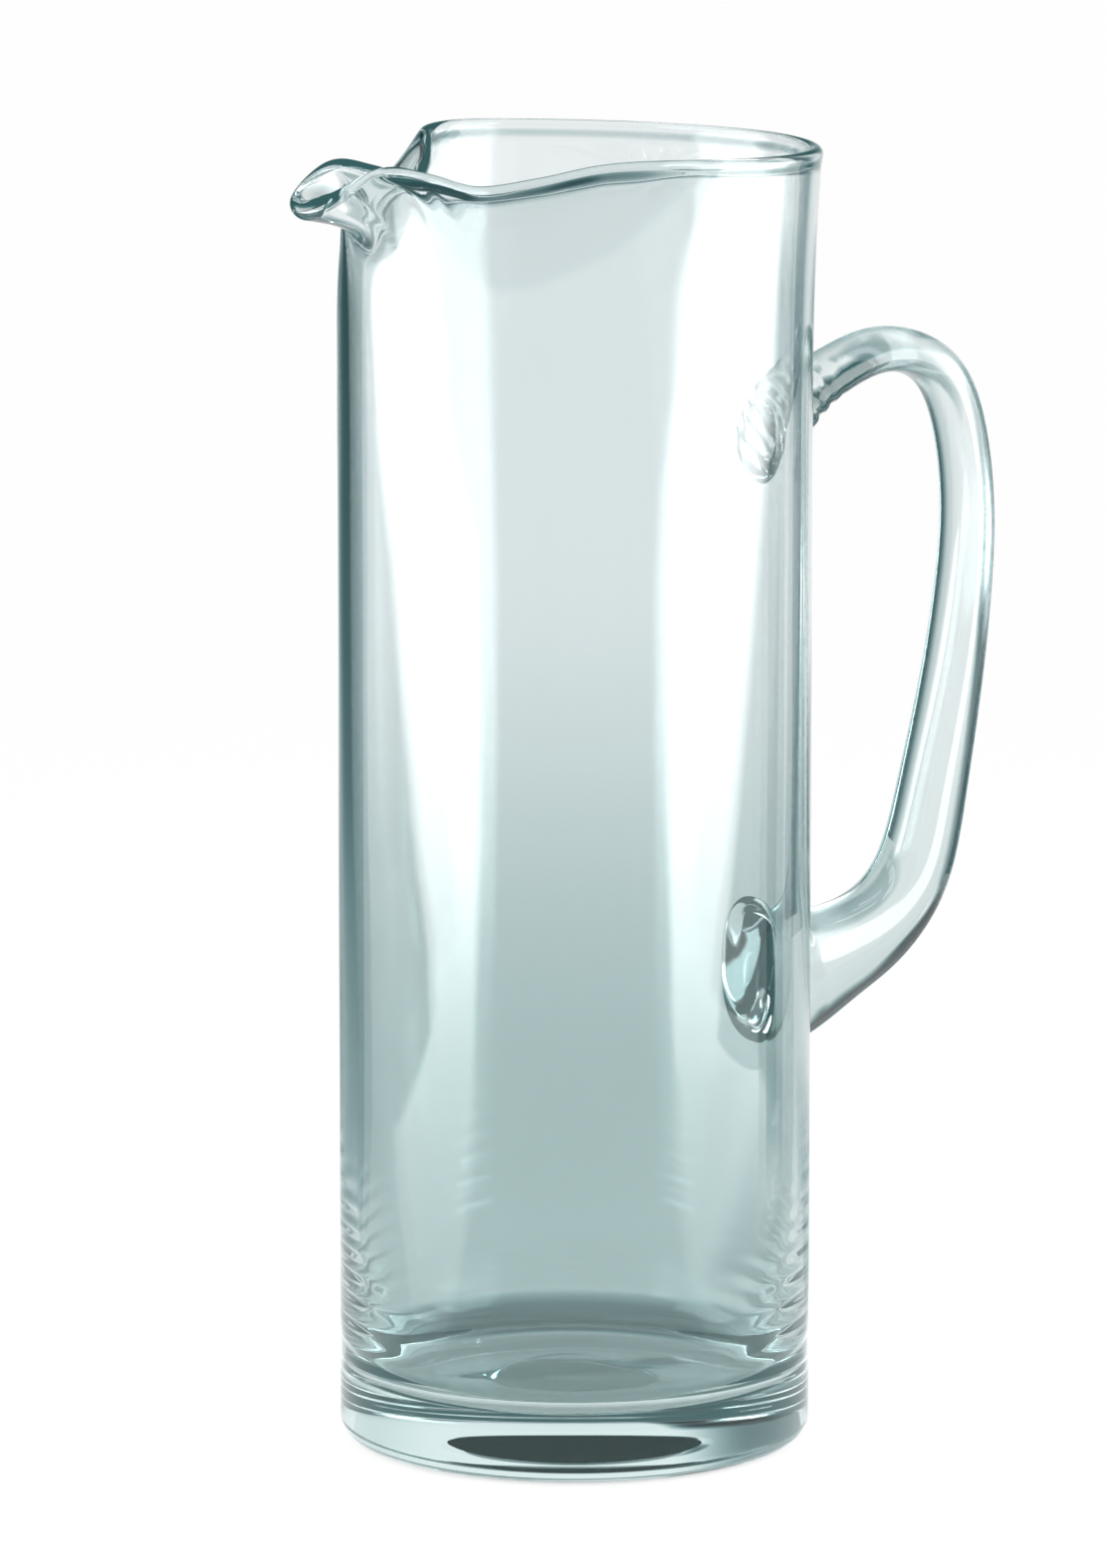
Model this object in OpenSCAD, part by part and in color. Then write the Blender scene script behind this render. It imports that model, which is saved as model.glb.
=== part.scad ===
// Handled glass water jug: a straight blown body with a pinched pouring lip and an applied handle.
// Millimetres. Z is up, the handle points to +X, the lip to -X, the origin is under the base centre.

/* [Body] */
// Outer radius of the straight wall
body_r = 50; // [42:0.5:60]
// Height of the highest points of the rim
body_h = 277; // [230:1:320]
// Wall thickness where the straight wall ends
wall_top = 2.5; // [2:0.1:4]
// Wall thickness just above the base
wall_low = 3.8; // [3:0.1:6]
// Thickness of the base in the middle
base_t = 13.5; // [8:0.5:18]
// Radius of the rounding between wall and floor inside
floor_round = 8; // [4:0.5:14]
// Radius of the rounded outer edge of the base
foot_round = 4.5; // [2:0.25:7]

/* [Underside] */
// Radius of the shallow hollow under the base
punt_r = 19; // [15:1:34]
// Depth of that hollow in the middle
punt_depth = 1.5; // [0.5:0.1:3]

/* [Rim] */
// Height of the zone in which the round wall turns into the shaped rim
rim_zone = 48; // [36:1:60]
// How far the rim stands outside the straight wall at the back
rim_flare = 1.6; // [0:0.1:4]
// Thickness of the fire-polished rim at the back
rim_t = 3; // [2.4:0.1:5]
// How much lower the rim is above the handle
rim_back_drop = 1.2; // [0:0.1:5]

/* [Lip] */
// Reach of the lip tip past the straight wall
lip_reach = 16.4; // [10:0.2:26]
// How far the lip tip hangs below the top of the rim
lip_drop = 8.6; // [4:0.2:14]
// Half the width of the lip
lip_half = 9.2; // [6:0.2:13]
// Thickness of the glass at the lip tip
lip_t = 4.2; // [3:0.1:6]
// Reach past the wall where the lip is widest
crest_reach = 4; // [1:0.2:8]
// How far the widest place hangs below the top of the rim
crest_drop = 1.6; // [0:0.1:4]
// Half the width of the lip at its rounded corners
lip_corner_half = 6.4; // [4:0.2:9]
// How far these corners stand back from the tip
lip_corner_back = 2.8; // [1:0.2:5]
// How much higher than the tip these corners are
lip_corner_rise = 2.4; // [0:0.2:4]

/* [Throat] */
// Distance of the throat inside the straight wall
throat_inset = 17; // [12:0.5:22]
// Half the width of the throat
throat_half = 13; // [9:0.5:17]
// How far the throat dips below the top of the rim
throat_drop = 6.6; // [2:0.2:10]
// Half the width of the channel between throat and lip
neck_half = 10.5; // [7:0.5:14]
// Distance of that place inside the straight wall
neck_inset = 6.5; // [4:0.5:10]
// How far its edges hang below the top of the rim
neck_drop = 3.6; // [1:0.2:6]
// How deep the wall is pressed in beside the throat
pinch = 16.2; // [8:0.2:20]
// How far the rim hangs there
pinch_drop = 4.7; // [1:0.2:8]
// How deep the wall is pressed in further round
flank_pinch = 11.8; // [5:0.2:15]
// How far the rim hangs there
flank_drop = 1.4; // [0:0.2:4]
// How deep the wall is pressed in where the round part of the rim begins
ear_pinch = 3.7; // [0:0.2:6]
// Thickness of the glass at the throat
throat_t = 3.6; // [3:0.1:5]

/* [Handle] */
// Height of the middle of the upper root
root_top_z = 211; // [190:1:215]
// Height of the middle of the lower root
root_low_z = 95; // [70:1:110]
// Height of the centre line at the top bend
apex_z = 227.6; // [215:0.5:240]
// Distance of the top bend outside the wall
apex_out = 30; // [22:1:36]
// Distance of the centre line outside the wall at its furthest
handle_out = 52.8; // [44:0.2:64]
// Height of the furthest place
handle_out_z = 195; // [180:1:205]
// Distance of the elbow above the lower root outside the wall
elbow_out = 39; // [30:0.5:46]
// Height of the elbow
elbow_z = 113.4; // [105:0.5:125]
// Height gained by the handle over its upper root
top_rise = 11.2; // [6:0.2:14]
// Distance outside the wall where it has risen so far
top_rise_out = 14; // [10:0.5:18]
// Half thickness of the grip, seen along the wall
grip_half_t = 5; // [3.5:0.1:7]
// Half breadth of the grip
grip_half_w = 7; // [5:0.1:10]
// Half thickness at the elbow
elbow_half_t = 8; // [5:0.1:10]
// Half breadth at the elbow
elbow_half_w = 8.7; // [6:0.1:11]
// Half height of the upper root on the wall
root_top_half_z = 8.4; // [6:0.2:11]
// Half breadth of the upper root on the wall
root_top_half_w = 7.6; // [5:0.2:11]
// Half height of the lower root on the wall
root_low_half_z = 15.6; // [11:0.2:20]
// Half breadth of the lower root on the wall
root_low_half_w = 11.4; // [8:0.2:15]

/* [Hidden] */

glass_tint = [0.80, 0.88, 0.88, 0.6];
handle_tint = [0.84, 0.90, 0.90, 0.6];

// Smoothness of the exact round faces
round_fn = 96;
// Steps between two rows of the rim table
rim_steps = 4;
// Rows of points up the rim zone
rim_rows = 14;
// Crowding of these rows toward the rim
row_power = 1.8;
// Points over the rounded rim edge
bead_points = 5;
// Steps between two rows of the handle table
handle_steps = 4;
// Points around the handle
handle_points = 24;
// Roundness of the handle section: 2 is an ellipse, more is squarer
section_power = 2.5;
// How far the rim zone reaches down into the straight wall
seam_overlap = 3;
// How far the faces of the rim zone stay inside the faces of the wall there
seam_step = 0.06;
// How far the handle table starts inside the wall before it is trimmed
root_inside = 3;

// Angles from the lip at which the rim plan is set out
pinch_angle = 42.5;
flank_angle = 65;
ear_angle = 80.5;
side_angle = 96;
back_angles = [116, 138, 159, 180];
// Share of the back drop at these back angles
back_shares = [0.5, 0.8, 1, 1];
// Angles on the round wall from which each place of the rim rises
lip_corner_fan_angle = 8;
crest_fan_angle = 17;
neck_fan_angle = 26;
throat_fan_angle = 36;
pinch_fan_angle = 46;
flank_fan_angle = 58;
ear_fan_angle = 74;
side_fan_angle = 94;
// How suddenly the wall turns into the rim: 2 is gentle, 11 is a sharp turn just under the lip
lip_power = 11;
lip_corner_power = 10;
crest_power = 8;
neck_power = 6;
pinch_power = 5;
side_power = 3;
back_power = 2;
// The rim zone thickens toward its edge with this power of the height
bead_power = 4;

// Swelling of the grip toward both roots, added to its half sizes
top_root_swell = 1.4;
low_grip_swell = 0.6;
low_root_swell = 3.3;
// Heights between the places at which the handle is set out
shoulder_above = 24.6;
grip_below = 30;
above_elbow = 20.3;
below_elbow = 7.3;
// Distances outside the wall between these places
shoulder_back = 6.9;
grip_back = 2.2;
above_elbow_out = 5.5;
below_elbow_back = 9.8;
low_root_out = 16;
foot_out = 6;
top_root_out = 5;
// Height of the handle over its lower root at low_root_out
low_root_rise = 1.6;
// The lower root is smaller by this at foot_out than on the wall, and larger by the flare inside the wall
foot_taper_z = 2.4;
foot_taper_w = 0.8;
foot_flare_z = 1.6;

mid_r = body_r - wall_top / 2;
seam_z = body_h - rim_zone;
bore_low_r = body_r - wall_low;
bore_top_r = body_r - wall_top;
punt_sphere_r = (punt_r * punt_r + punt_depth * punt_depth) / (2 * punt_depth);

// Point of the rim plan at an angle from the lip, pressed in by a depth
function round_at(angle, depth) = [(mid_r - depth) * cos(angle), (mid_r - depth) * sin(angle)];

// A row of the rim table: plan point, drop, angle on the round wall, suddenness, thickness
function rim_row(plan, drop, angle, power, t) = [plan[0], plan[1], drop, angle, power, t];

// One side of the rim, from the lip tip round to the handle
lip_half_rows = [
    rim_row([body_r + lip_reach, 0], lip_drop, 0, lip_power, lip_t),
    rim_row([body_r + lip_reach - lip_corner_back, lip_corner_half], lip_drop - lip_corner_rise,
        lip_corner_fan_angle, lip_corner_power, lip_t),
    rim_row([body_r + crest_reach, lip_half], crest_drop, crest_fan_angle, crest_power, throat_t),
    rim_row([body_r - neck_inset, neck_half], neck_drop, neck_fan_angle, neck_power, throat_t),
    rim_row([body_r - throat_inset, throat_half], throat_drop, throat_fan_angle, pinch_power, throat_t),
    rim_row(round_at(pinch_angle, pinch), pinch_drop, pinch_fan_angle, pinch_power, throat_t),
    rim_row(round_at(flank_angle, flank_pinch), flank_drop, flank_fan_angle, pinch_power, rim_t),
    rim_row(round_at(ear_angle, ear_pinch), 0, ear_fan_angle, pinch_power, rim_t),
    rim_row(round_at(side_angle, -rim_flare / 2), 0, side_fan_angle, side_power, rim_t),
];
back_half_rows = [
    for (i = [0 : len(back_angles) - 1])
        let (angle = back_angles[i])
        rim_row(round_at(angle, -rim_flare), rim_back_drop * back_shares[i], angle, back_power, rim_t)
];
rim_half = concat(lip_half_rows, back_half_rows);
half_count = len(rim_half);
function mirrored(r) = [r[0], -r[1], r[2], 360 - r[3], r[4], r[5]];
rim_table = concat(rim_half, [for (i = [half_count - 2 : -1 : 1]) mirrored(rim_half[i])]);
table_count = len(rim_table);

// Row of the rim table at any whole number, counting on round the rim
function turn(i) = floor(i / table_count);
function rim_at(i) =
    let (r = rim_table[i - turn(i) * table_count])
    [r[0], r[1], r[2], r[3] + 360 * turn(i), r[4], r[5]];

// Smooth curve through four rows
function smooth(a, b, c, d, t) =
    0.5 * (2 * b + (c - a) * t + (2 * a - 5 * b + 4 * c - d) * t * t + (3 * b - a - 3 * c + d) * t * t * t);

rim_columns = [
    for (i = [0 : table_count - 1]) for (j = [0 : rim_steps - 1])
        smooth(rim_at(i - 1), rim_at(i), rim_at(i + 1), rim_at(i + 2), j / rim_steps)
];
column_count = len(rim_columns);
column_sag = mid_r * (1 - cos(180 / column_count));
seam_t = wall_top - 2 * seam_step - 2 * column_sag;

// Middle of the glass in one column, from the round wall at v = 0 to the rim edge at v = 1
function mid_at(c, v) =
    let (blend = pow(v, c[4]))
    let (x = mid_r * cos(c[3]))
    let (y = mid_r * sin(c[3]))
    let (low_z = seam_z - seam_overlap)
    let (edge_z = body_h - c[2] - c[5] / 2)
    [-(x + (c[0] - x) * blend), y + (c[1] - y) * blend, low_z + (edge_z - low_z) * v];
function glass_at(c, v) = seam_t + (c[5] - seam_t) * pow(v, bead_power);
function row_v(i) = 1 - pow(1 - i / rim_rows, row_power);
function unit(p) = p / norm(p);

// Direction out of the wall and direction up the wall at a point of the rim zone
probe_share = 0.004;
function column(k) = rim_columns[(k + column_count) % column_count];
function up_at(k, v) = unit(mid_at(column(k), v) - mid_at(column(k), v - probe_share));
function round_dir(k, v) = mid_at(column(k + 1), v) - mid_at(column(k - 1), v);
function out_at(k, v) = unit(cross(up_at(k, v), round_dir(k, v)));

// Loops of points: up the outside, over the edge, down the inside
function skin(i, side) = [
    for (k = [0 : column_count - 1])
        let (v = max(row_v(i), probe_share))
        mid_at(column(k), row_v(i)) + out_at(k, v) * side * glass_at(column(k), row_v(i)) / 2
];
function bead(a) = [
    for (k = [0 : column_count - 1])
        mid_at(column(k), 1) + (out_at(k, 1) * cos(a) + up_at(k, 1) * sin(a)) * glass_at(column(k), 1) / 2
];
rim_loops = concat(
    [for (i = [0 : rim_rows]) skin(i, 1)],
    [for (j = [1 : bead_points]) bead(180 * j / (bead_points + 1))],
    [for (i = [rim_rows : -1 : 0]) skin(i, -1)]
);

// Solid between a stack of loops; the last loop joins the first one again
module ring_of_loops(loops) {
    rows = len(loops);
    cols = len(loops[0]);
    points = [for (l = loops) each l];
    faces = [
        for (i = [0 : rows - 1]) for (k = [0 : cols - 1])
            let (a = i * cols + k)
            let (b = i * cols + (k + 1) % cols)
            let (c = ((i + 1) % rows) * cols + (k + 1) % cols)
            let (d = ((i + 1) % rows) * cols + k)
            each [[a, b, c], [a, c, d]]
    ];
    polyhedron(points, faces);
}

// Round part of the body: base, rounded foot and straight wall that thins upward
module round_wall() {
    difference() {
        union() {
            translate([0, 0, foot_round]) cylinder(r = body_r, h = seam_z - foot_round, $fn = round_fn);
            cylinder(r = body_r - foot_round, h = foot_round, $fn = round_fn);
            rotate_extrude($fn = round_fn)
                intersection() {
                    translate([body_r - foot_round, foot_round]) circle(r = foot_round, $fn = round_fn);
                    translate([body_r - foot_round, 0]) square([foot_round, foot_round]);
                }
        }
        bore();
        translate([0, 0, punt_depth - punt_sphere_r]) sphere(r = punt_sphere_r, $fn = round_fn);
    }
}

// Room inside the straight wall, wider toward the top, with a rounded floor corner
module bore() {
    translate([0, 0, base_t + floor_round])
        cylinder(r1 = bore_low_r, r2 = bore_top_r, h = seam_z - base_t - floor_round, $fn = round_fn);
    translate([0, 0, seam_z - seam_overlap]) cylinder(r = bore_top_r, h = 2 * seam_overlap, $fn = round_fn);
    translate([0, 0, base_t]) cylinder(r = bore_low_r - floor_round, h = 2 * floor_round, $fn = round_fn);
    rotate_extrude($fn = round_fn)
        translate([bore_low_r - floor_round, base_t + floor_round])
            intersection() {
                circle(r = floor_round, $fn = round_fn);
                translate([0, -floor_round]) square([floor_round, floor_round]);
            }
}

module body() {
    color(glass_tint)
        union() {
            round_wall();
            ring_of_loops(rim_loops);
        }
}

// Rows of the handle: distance outside the wall, height, half thickness, half breadth
handle_table = [
    [-root_inside, root_top_z - root_inside, root_top_half_z, root_top_half_w],
    [top_root_out, root_top_z + top_root_out, grip_half_t + top_root_swell, grip_half_w],
    [top_rise_out, root_top_z + top_rise, grip_half_t, grip_half_w],
    [apex_out, apex_z, grip_half_t, grip_half_w],
    [handle_out - shoulder_back, handle_out_z + shoulder_above, grip_half_t, grip_half_w],
    [handle_out, handle_out_z, grip_half_t, grip_half_w],
    [handle_out - grip_back, handle_out_z - grip_below,
        grip_half_t + low_grip_swell, grip_half_w + low_grip_swell],
    [elbow_out + above_elbow_out, elbow_z + above_elbow,
        elbow_half_t - low_grip_swell, elbow_half_w - low_grip_swell],
    [elbow_out, elbow_z, elbow_half_t, elbow_half_w],
    [elbow_out - below_elbow_back, root_low_z + below_elbow, elbow_half_t + 2 * low_grip_swell, elbow_half_w],
    [low_root_out, root_low_z + low_root_rise, elbow_half_t + low_root_swell, elbow_half_w + low_grip_swell],
    [foot_out, root_low_z, root_low_half_z - foot_taper_z, root_low_half_w - foot_taper_w],
    [-root_inside, root_low_z, root_low_half_z + foot_flare_z, root_low_half_w + foot_taper_w],
];
handle_rows = len(handle_table);
function handle_at(i) = handle_table[max(0, min(handle_rows - 1, i))];
handle_line = concat(
    [for (i = [0 : handle_rows - 2]) for (j = [0 : handle_steps - 1])
        smooth(handle_at(i - 1), handle_at(i), handle_at(i + 1), handle_at(i + 2), j / handle_steps)],
    [handle_at(handle_rows - 1)]
);
line_count = len(handle_line);

// Squared-off ellipse, written with the sine and cosine of an angle
function squared(s) = sign(s) * pow(abs(s), 2 / section_power);
function line_dir(i) =
    let (a = handle_line[max(0, i - 1)])
    let (b = handle_line[min(line_count - 1, i + 1)])
    unit([b[0] - a[0], b[1] - a[1]]);
handle_loops = [
    for (i = [0 : line_count - 1])
        let (p = handle_line[i])
        let (d = line_dir(i))
        [for (k = [0 : handle_points - 1])
            let (a = 360 * k / handle_points)
            let (out = p[2] * squared(cos(a)))
            [body_r + p[0] + d[1] * out, p[3] * squared(sin(a)), p[1] - d[0] * out]]
];

// Solid bar along a list of loops, closed flat at both ends
module bar_of_loops(loops) {
    rows = len(loops);
    cols = len(loops[0]);
    points = [for (l = loops) each l];
    sides = [
        for (i = [0 : rows - 2]) for (k = [0 : cols - 1])
            let (a = i * cols + k)
            let (b = i * cols + (k + 1) % cols)
            each [[a, b, b + cols], [a, b + cols, a + cols]]
    ];
    first_end = [[for (k = [cols - 1 : -1 : 0]) k]];
    last_end = [[for (k = [0 : cols - 1]) (rows - 1) * cols + k]];
    polyhedron(points, concat(sides, first_end, last_end));
}

module handle() {
    color(handle_tint)
        difference() {
            bar_of_loops(handle_loops);
            cylinder(r = body_r, h = seam_z, $fn = round_fn);
        }
}

body();
handle();
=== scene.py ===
# %% [markdown]
# # A handled glass water jug
# The jug is two gathers of clear glass. The first was blown into a straight round body with a thick
# base, and its softened rim was pinched and pulled into a pouring lip. The second was stuck on hot and
# drawn into a solid handle. This lesson rebuilds both as smooth closed meshes, gives them real glass,
# and lights them the way a studio lights glass: white behind, soft boxes beside, dark cards at the edges.

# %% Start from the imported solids
import math

import bmesh
import bpy
import numpy as np
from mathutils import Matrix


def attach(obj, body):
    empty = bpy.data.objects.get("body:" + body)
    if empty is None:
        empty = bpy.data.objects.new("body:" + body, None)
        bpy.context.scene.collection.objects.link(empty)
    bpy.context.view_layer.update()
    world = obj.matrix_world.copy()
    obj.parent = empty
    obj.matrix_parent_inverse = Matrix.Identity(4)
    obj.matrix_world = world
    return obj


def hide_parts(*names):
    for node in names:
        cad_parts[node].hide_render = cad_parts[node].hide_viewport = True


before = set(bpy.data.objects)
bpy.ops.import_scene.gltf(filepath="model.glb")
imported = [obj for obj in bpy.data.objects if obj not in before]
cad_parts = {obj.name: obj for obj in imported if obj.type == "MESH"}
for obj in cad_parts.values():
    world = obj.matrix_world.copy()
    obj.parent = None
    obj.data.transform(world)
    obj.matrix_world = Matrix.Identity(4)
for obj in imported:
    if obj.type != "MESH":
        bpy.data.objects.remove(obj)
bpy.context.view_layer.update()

# %% [markdown]
# ## Sizes
# The sizes of the jug are in millimetres, as a glass maker would write them, and MM turns them into metres
# where they are used. The heights of the tint and the panels of the studio are in metres. The origin is
# under the middle of the base, Z is up, the handle points along +X and the lip along -X, exactly as in the
# solids.

# %% Sizes of the body
MM = 0.001
BODY_R = 50.0
BODY_H = 277.0
WALL_TOP = 2.5
WALL_LOW = 3.8
BASE_T = 13.5
FLOOR_ROUND = 8.0
FOOT_ROUND = 4.5
PUNT_R = 19.0
PUNT_DEPTH = 1.5
RIM_ZONE = 51.0
RIM_FLARE = 1.6
RIM_T = 2.7
BEAD_EXTRA = 0.5
BEAD_REACH = 1.8
LIP_T = 3.8
THROAT_T = 2.9
MID_R = BODY_R - WALL_TOP / 2
SEAM_Z = BODY_H - RIM_ZONE
print("body", 2 * BODY_R, "mm across,", BODY_H, "mm tall, wall", WALL_TOP, "to", WALL_LOW)


# %% [markdown]
# ## Small helpers for curves and meshes
# Hot glass has no corners, so every shape here is a smooth curve through a few places that can be named:
# lip tip, throat, pinch, ear. A Catmull-Rom curve passes through all of them. The meshes are stacks of
# closed loops, because a loop per height is how both a turned wall and a drawn handle grow.

# %% Curves through rows, and meshes from loops
def curve_between(a, b, c, d, t):
    square = (2 * a - 5 * b + 4 * c - d) * t ** 2
    cube = (3 * b - a - 3 * c + d) * t ** 3
    return 0.5 * (2 * b + (c - a) * t + square + cube)


def curve_through(rows, steps):
    # An open curve: the first and last rows are counted twice
    padded = np.vstack([rows[:1], rows, rows[-1:]])
    points = []
    for i in range(len(rows) - 1):
        for j in range(steps):
            points.append(curve_between(padded[i], padded[i + 1], padded[i + 2], padded[i + 3], j / steps))
    points.append(rows[-1])
    return np.array(points)


def unit(vectors):
    return vectors / np.linalg.norm(vectors, axis=-1, keepdims=True)


def ease(low, high, value):
    t = np.clip((np.asarray(value, float) - low) / (high - low), 0.0, 1.0)
    return t * t * (3 - 2 * t)


def mesh_from_loops(name, loops, first_pole=None, last_pole=None):
    # Neighbouring loops are joined with quads, and a pole closes an end with a fan
    count = len(loops[0])
    points = np.vstack(loops) * MM
    faces = []
    for row in range(len(loops) - 1):
        for k in range(count):
            right = (k + 1) % count
            here = row * count
            above = here + count
            faces.append((here + k, here + right, above + right, above + k))
    verts = [tuple(p) for p in points]
    if first_pole is not None:
        pole = len(verts)
        verts.append(tuple(np.array(first_pole) * MM))
        faces.extend((pole, (k + 1) % count, k) for k in range(count))
    if last_pole is not None:
        pole = len(verts)
        top = (len(loops) - 1) * count
        verts.append(tuple(np.array(last_pole) * MM))
        faces.extend((pole, top + k, top + (k + 1) % count) for k in range(count))
    mesh = bpy.data.meshes.new(name)
    mesh.from_pydata(verts, [], faces)
    # Light bends the right way only where every face looks out of the glass
    work = bmesh.new()
    work.from_mesh(mesh)
    bmesh.ops.recalc_face_normals(work, faces=work.faces)
    work.to_mesh(mesh)
    work.free()
    mesh.polygons.foreach_set("use_smooth", [True] * len(mesh.polygons))
    mesh.update()
    piece = bpy.data.objects.new(name, mesh)
    bpy.context.collection.objects.link(piece)
    return piece


print("helpers ready")

# %% [markdown]
# ## The rim, seen from above
# The maker pressed the hot wall in from both sides to make a narrow throat, then pulled the glass between
# the two presses out and down into a lip. Each row below is one place on half of the rim, from the lip tip
# round to the handle: its plan place, how far it hangs below the top, the angle on the round wall from
# which it rises, how suddenly the wall turns there, and how thick the edge is. The other half mirrors it.


# %% Places on the rim
def on_round(angle, pressed_in):
    radius = MID_R - pressed_in
    return [radius * math.cos(math.radians(angle)), radius * math.sin(math.radians(angle))]


HALF_RIM = np.array([
    [BODY_R + 16.4, 0.0, 8.6, 0, 11, LIP_T],
    [BODY_R + 13.6, 6.4, 6.2, 8, 10, LIP_T],
    [BODY_R + 4.0, 9.2, 1.6, 17, 8, THROAT_T],
    [BODY_R - 6.5, 10.5, 3.6, 26, 6, THROAT_T],
    [BODY_R - 17.0, 13.0, 6.6, 36, 5, THROAT_T],
    on_round(42.5, 16.2) + [4.7, 46, 5, THROAT_T],
    on_round(65.0, 11.8) + [1.4, 58, 5, RIM_T],
    on_round(80.5, 3.7) + [0.0, 74, 5, RIM_T],
    on_round(96.0, -RIM_FLARE / 2) + [0.0, 94, 3, RIM_T],
    on_round(116.0, -RIM_FLARE) + [0.6, 116, 2, RIM_T],
    on_round(138.0, -RIM_FLARE) + [1.0, 138, 2, RIM_T],
    on_round(159.0, -RIM_FLARE) + [1.2, 159, 2, RIM_T],
    on_round(180.0, -RIM_FLARE) + [1.2, 180, 2, RIM_T],
])
Y_COLUMN = 1
ANGLE_COLUMN = 3
RIM_STEPS = 11


def whole_rim():
    # The mirrored half closes the ring, and rows from the turn before and after let the curve run through
    other = HALF_RIM[1:-1][::-1].copy()
    other[:, Y_COLUMN] *= -1
    other[:, ANGLE_COLUMN] = 360 - other[:, ANGLE_COLUMN]
    ring = np.vstack([HALF_RIM, other])
    before = ring[-1:].copy()
    before[:, ANGLE_COLUMN] -= 360
    after = ring[:2].copy()
    after[:, ANGLE_COLUMN] += 360
    rows = np.vstack([before, ring, after])
    columns = []
    for i in range(len(ring)):
        for j in range(RIM_STEPS):
            columns.append(curve_between(rows[i], rows[i + 1], rows[i + 2], rows[i + 3], j / RIM_STEPS))
    return np.array(columns)


RIM_X, RIM_Y, RIM_DROP, RIM_ANGLE, RIM_TURN, RIM_EDGE = whole_rim().T
FAN = np.radians(RIM_ANGLE)
print("rim of", len(FAN), "columns, lip tip", round(RIM_X.max(), 1), "mm from the axis")

# %% [markdown]
# ## The waves of blown glass
# A blown wall is never quite even. It was turned against a wet mould, so its inside keeps faint rings,
# strongest just above the cold base, and slow waves higher up. They move the wall by less than a millimetre,
# but glass shows them as the small zigzags at the edges, so they belong in the mesh.


# %% Unevenness of the wall
OUTER_WAVE = 0.05
INNER_WAVE = 0.10
SEAM_SETTLE = 30.0
ROUND_UNTIL = math.radians(24)
WAVY_FROM = math.radians(48)
RING_WAVE = 0.75
RING_PITCH = 5.2
RING_TOP = 78.0
RING_FULL = 22.0
RING_SIDE = math.radians(34.0)
PRESS_WAVE = 0.7
PRESS_Z = 210.0
PRESS_HALF_HEIGHT = 8.0
PRESS_HALF_BREADTH = 7.0


def slow_wave(angle, z):
    # Three waves of unlike length, so no place looks like another
    broad = np.sin(2 * angle + z / 31 + 0.6)
    middle = np.sin(3 * angle - z / 23)
    narrow = np.sin(5 * angle + z / 14 + 2)
    return (broad + 0.7 * middle + 0.5 * narrow) / 2.2


def chill_rings(angle, z):
    # The rings die out upward, and draw together on two sides of the jug
    fade = ease(RING_TOP, RING_FULL, z) ** 2
    gathering = 10 + 30 * ease(25, 75, z)
    sides = np.abs(np.cos(angle - RING_SIDE)) ** gathering
    drift = 0.9 * np.sin(z / 7.0)
    return fade * sides * np.sin(2 * math.pi * z / RING_PITCH + drift)


def press_mark(angle, z):
    # The last press of the handle's upper end left ripples on the inside of the wall
    beside = BODY_R * (angle - math.pi)
    above = z - PRESS_Z
    fade = np.exp(-((above / PRESS_HALF_HEIGHT) ** 2) - (beside / PRESS_HALF_BREADTH) ** 2)
    return np.sin(1.4 * above + 0.8 * beside) * fade


def outer_radius(angle, z):
    # The wall is exactly round where the handle is stuck on
    away = ease(ROUND_UNTIL, WAVY_FROM, np.abs(angle - math.pi))
    settle = ease(8, 40, z) * ease(SEAM_Z, SEAM_Z - SEAM_SETTLE, z)
    return BODY_R + OUTER_WAVE * slow_wave(angle + 1.3, z) * away * settle


def inner_radius(angle, z):
    share = (z - BASE_T - FLOOR_ROUND) / (SEAM_Z - BASE_T - FLOOR_ROUND)
    plain = BODY_R - WALL_LOW + (WALL_LOW - WALL_TOP) * np.clip(share, 0, 1)
    settle = ease(SEAM_Z, SEAM_Z - SEAM_SETTLE, z)
    waves = settle * (INNER_WAVE * slow_wave(angle, z) + RING_WAVE * chill_rings(angle, z))
    return plain + waves + PRESS_WAVE * press_mark(angle, z)


print("wave of the inner wall at 40 mm:", np.round(inner_radius(FAN[:3], 40.0), 2))


# %% [markdown]
# ## The body, loop by loop
# The outline runs from the middle of the underside, over the standing ring and the rounded foot, up the
# outer wall, through the rim zone, over the rounded edge, and down the inside to the middle of the floor.
# In the rim zone each column leans from the round wall to its place on the rim; the glass there is set
# out from its middle surface, half its thickness to each side, so the lip keeps its thickness everywhere.

# %% Loops of the straight part
def turned_loop(radius, z):
    radius = radius + 0 * FAN
    return np.stack([-radius * np.cos(FAN), radius * np.sin(FAN), z + 0 * FAN], -1)


def underside_loops():
    ball = (PUNT_R ** 2 + PUNT_DEPTH ** 2) / (2 * PUNT_DEPTH)
    loops = []
    for r in np.linspace(2.0, PUNT_R, 16):
        loops.append(turned_loop(r, PUNT_DEPTH - ball + math.sqrt(ball ** 2 - r ** 2)))
    for r in np.linspace(PUNT_R + 1, BODY_R - FOOT_ROUND, 9):
        loops.append(turned_loop(r, 0.0))
    for a in np.linspace(0, math.pi / 2, 13)[1:]:
        r = BODY_R - FOOT_ROUND + FOOT_ROUND * math.sin(a)
        loops.append(turned_loop(r, FOOT_ROUND - FOOT_ROUND * math.cos(a)))
    return loops


def outer_wall_loops():
    heights = np.linspace(FOOT_ROUND, SEAM_Z, 96)[1:-1]
    return [turned_loop(outer_radius(FAN, z), z) for z in heights]


def inner_wall_loops():
    heights = np.linspace(BASE_T + FLOOR_ROUND, SEAM_Z, 180)[1:-1]
    return [turned_loop(inner_radius(FAN, z), z) for z in heights[::-1]]


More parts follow.
